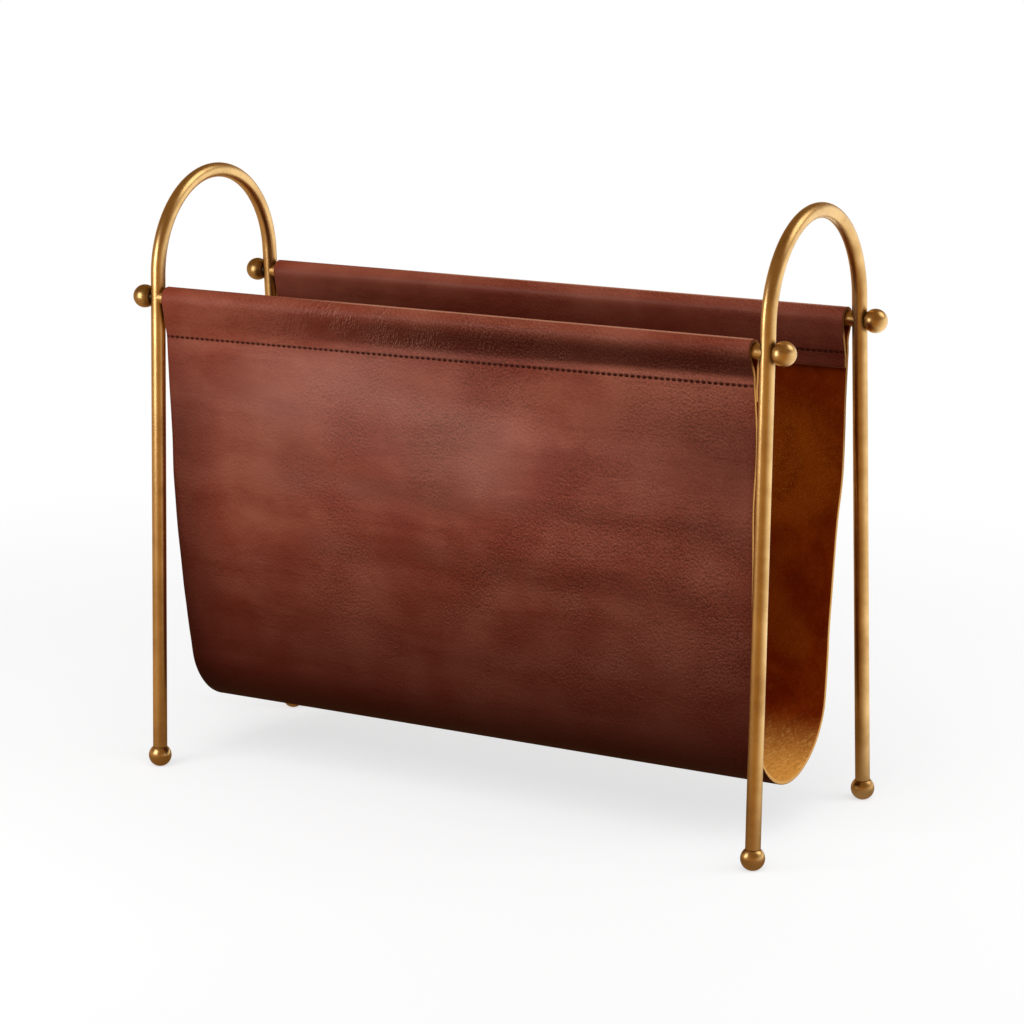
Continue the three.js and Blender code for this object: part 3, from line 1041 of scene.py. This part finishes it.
# %% Leather, cut edge
board = Board(sling.data.materials[2])
depth = board.node("Attribute", {"attribute_name": "depth"}, output="Fac")
height = board.axes(board.place("Object"))[2]
fibres = board.noise(board.place("Object"), 1400, 3, 0.6)
round_rods = height.rise(rod_height - 0.012, rod_height - 0.006)
tan = (0.80, 0.38, 0.09, 1)
pale_tan = (1.0, 0.58, 0.20, 1)
dyed = (0.12, 0.022, 0.006, 1)
rubbed_brown = (0.30, 0.065, 0.005, 1)
darkened = (0.10, 0.015, 0.005, 1)
colour = board.cover(
    tan,
    (fibres, pale_tan),
    (depth.rise(0.20, 0.05) * 0.8, dyed),
    (depth.rise(0.80, 1.0) * 0.5, rubbed_brown),
    (round_rods * 0.85, darkened),
)
board.surface(
    Base_Color=colour,
    Roughness=0.85,
    Specular_IOR_Level=0.1,
    Normal=board.bump(fibres, 0.0003),
)

# %% [markdown]
# The seams
# Each hem is sewn with one row of waxed thread that shows outside and inside. A stitch is a short fat
# lentil of thread, a little slanted, with its ends drawn into their holes. One stitch is modelled and an
# Array modifier repeats it along a straight seam, as if it lay on the flat strip. Then every point is folded
# with the strip, so the thread stays on the leather wherever that goes. The seam was sewn by eye, and comes
# a little nearer to the rod at its right end.

# %% Thread
thread, board = new_material("waxed_thread")
ply = board.noise(board.place("Object", (1, 0.3, 0.3), math.radians(30)), 2600, 2)
board.surface(
    Base_Color=board.blend(ply, (0.030, 0.005, 0.002, 1), (0.085, 0.015, 0.007, 1)),
    Roughness=0.8,
    Specular_IOR_Level=0.05,
    Normal=board.bump(ply, 0.0001),
)

# %% The seams
stitch_length = 0.0029
stitch_width = 0.0016
stitch_height = 0.0008
stitch_slant = math.radians(7)
stitch_sink_share = 0.15
stitch_count = int((sling_length - 2 * seam_inset) / seam_pitch)
for word, side in sides.items():
    for face, distance, way in (("outside", seam_outside, 1), ("inside", seam_inside, -1)):
        start()
        bpy.ops.mesh.primitive_uv_sphere_add(
            segments=8, ring_count=6, radius=0.5, rotation=(0, math.pi / 2, 0),
        )
        stitch = bpy.context.object
        stitch.scale = (stitch_height, stitch_width, stitch_length)
        bpy.ops.object.transform_apply(location=False, rotation=True, scale=True)
        stitch.rotation_euler = (0, 0, stitch_slant)
        first_place = -sling_length / 2 + seam_inset + seam_pitch / 2
        stitch.location = (first_place, 0, -stitch_sink_share * stitch_height)
        bpy.ops.object.transform_apply(location=True, rotation=True, scale=True)
        modify(stitch, "ARRAY", count=stitch_count, use_relative_offset=False,
               use_constant_offset=True, constant_offset_displace=(seam_pitch, 0, 0))
        for vertex in stitch.data.vertices:
            u, across, above = vertex.co
            on_strip = side * (distance + way * seam_shift(u) + across)
            out = section_at(on_strip)[1]
            vertex.co = folded(u, on_strip) + Vector((0, *out)) * (leather / 2 + above)
        edit(stitch)
        bpy.ops.mesh.normals_make_consistent(inside=False)
        smooth(stitch, 80)
        rest_here(stitch, f"seam_{word}_{face}", "sling", "thread", material=thread)

rest_here(sling, "leather_sling", "sling", "leather", "sling")
2 * half_strip

# %% [markdown]
# Floor, world and lamps
# The rack stands on a white sweep under soft light from above and in front. The panels are brightest near the
# rods and dark where they curl under, partly from that light and partly from shade painted into the leather.
# The floor is white for the camera and keeps the shadow, and further out it goes over into pure white. What
# it throws back onto the leather is dim, as from the dark studio floor under a small paper sweep.
#
# Brass is a mirror, and a mirror in a white room looks flat, so photographers stand dark cards round it. For
# glossy rays the floor and the world are brown in front of the rack and above it, and bright behind it and
# to its right, with a softbox high behind the right end. That one draws the bright spots on the arches and
# knobs. A lamp at the left shows itself in the metal, and draws the long lights down the bars. A second one,
# to the right, lights only the leather's edges and its flesh side.

# %% The floor
brown_card = (0.42, 0.23, 0.07, 1)
bright_wall = (1.25, 1.20, 1.12, 1)
dim_room = (0.22, 0.22, 0.22, 1)
pure_white = (1, 1, 1, 1)
sweep_radius = 14


def rays(board):
    """Two wires: 1 for what the camera sees, and 1 for what a glossy surface sees."""
    return [board.node("LightPath", output=kind) for kind in ("Is Camera Ray", "Is Glossy Ray")]


def seen_by_metal(board, x, y):
    """What metal sees round the rack: a brown card in front, white behind and to the right."""
    angle = board.node("Math", {"operation": "ARCTAN2"}, {0: x, 1: -1.0 * y})
    to_left = (camera_turn - angle).rise(0, math.radians(60))
    to_right = (angle - camera_turn).rise(math.radians(10), math.radians(95))
    return board.cover(brown_card, (to_left * 0.10, bright_wall), (to_right, bright_wall))


start()
bpy.ops.mesh.primitive_circle_add(vertices=96, radius=sweep_radius, fill_type="NGON")
floor = bpy.context.object
floor.name = "floor"
white = bpy.data.materials.new("white_sweep")
floor.data.materials.append(white)
board = Board(white)
x, y = board.axes(board.place("Object"))[:2]
is_camera, is_glossy = rays(board)
from_middle = (x * x + y * y) ** 0.5
to_edge = ((x + 0.12) ** 2 + y * y) ** 0.5
paper = board.blend(is_camera, dim_room, (0.98, 0.98, 0.98, 1))
lit = board.node("BsdfDiffuse", None, {"Color": paper})
# Right round the rack, glossy rays see the floor in a darker brown: a painted shadow of the rack, seen only
# in reflections.
mirrored = board.blend(from_middle.rise(0.16, 0.46), (0.20, 0.11, 0.04, 1), seen_by_metal(board, x, y))
glow = board.node("Emission", None, {"Color": board.blend(is_glossy, pure_white, mirrored)})
far = (0.66 + 0.34 * to_edge.rise(0.34, 0.95)) * is_camera + is_glossy
sweep = board.node("MixShader", None, {0: far, 1: lit, 2: glow})
board.node("OutputMaterial", None, {"Surface": sweep})

# %% The world
world = bpy.data.worlds.new("soft_room")
bpy.context.scene.world = world
board = Board(world)
direction = board.node("TexCoord", output="Generated")
x, y, z = board.axes(direction)
is_camera, is_glossy = rays(board)
brown_ceiling = (0.24, 0.135, 0.05, 1)
softbox_glow = (2.2, 2.05, 1.8, 1)
softbox_way = {0: direction, 1: (0.54, 0.45, 0.71)}
to_softbox = board.node("VectorMath", {"operation": "DOT_PRODUCT"}, softbox_way, output=1)
mirrored = board.cover(
    seen_by_metal(board, x, y),
    (z.rise(0.10, 0.42), brown_ceiling),
    (to_softbox.rise(0.90, 0.985), softbox_glow),
)
room = board.cover(dim_room, (is_glossy, mirrored), (is_camera, pure_white))
backdrop = board.node("Background", None, {"Color": room})
board.node("OutputWorld", None, {"Surface": backdrop})

# %% The lamps
def lamp(kind, name, place, aim, power, sees_itself_in_metal=False):
    start()
    turn = (Vector(place) - Vector(aim)).to_track_quat("Z", "Y").to_euler()
    bpy.ops.object.light_add(type=kind, location=place, rotation=turn)
    made = bpy.context.object
    made.name = name
    made.data.energy = power
    made.visible_camera = False
    made.visible_glossy = sees_itself_in_metal
    return made.data


skylight = lamp("SUN", "skylight", (0.6, -0.8, 2.1), (0, 0, 0.2), 1.8)
skylight.angle = math.radians(60)
strip_light = lamp("AREA", "strip_light", (-0.42, -0.64, 0.42), (-0.05, 0, 0.27), 2.0, True)
strip_light.shape = "RECTANGLE"
strip_light.size = 0.36
strip_light.size_y = 0.45
side_light = lamp("AREA", "side_light", (0.95, 0.35, 0.4), (0, 0, 0.15), 3.6)
side_light.size = 0.6

# %% [markdown]
# Finishing
# The colours are shown as they are, without a film look.

# %% Finishing
bpy.context.scene.view_settings.view_transform = "Standard"
start()
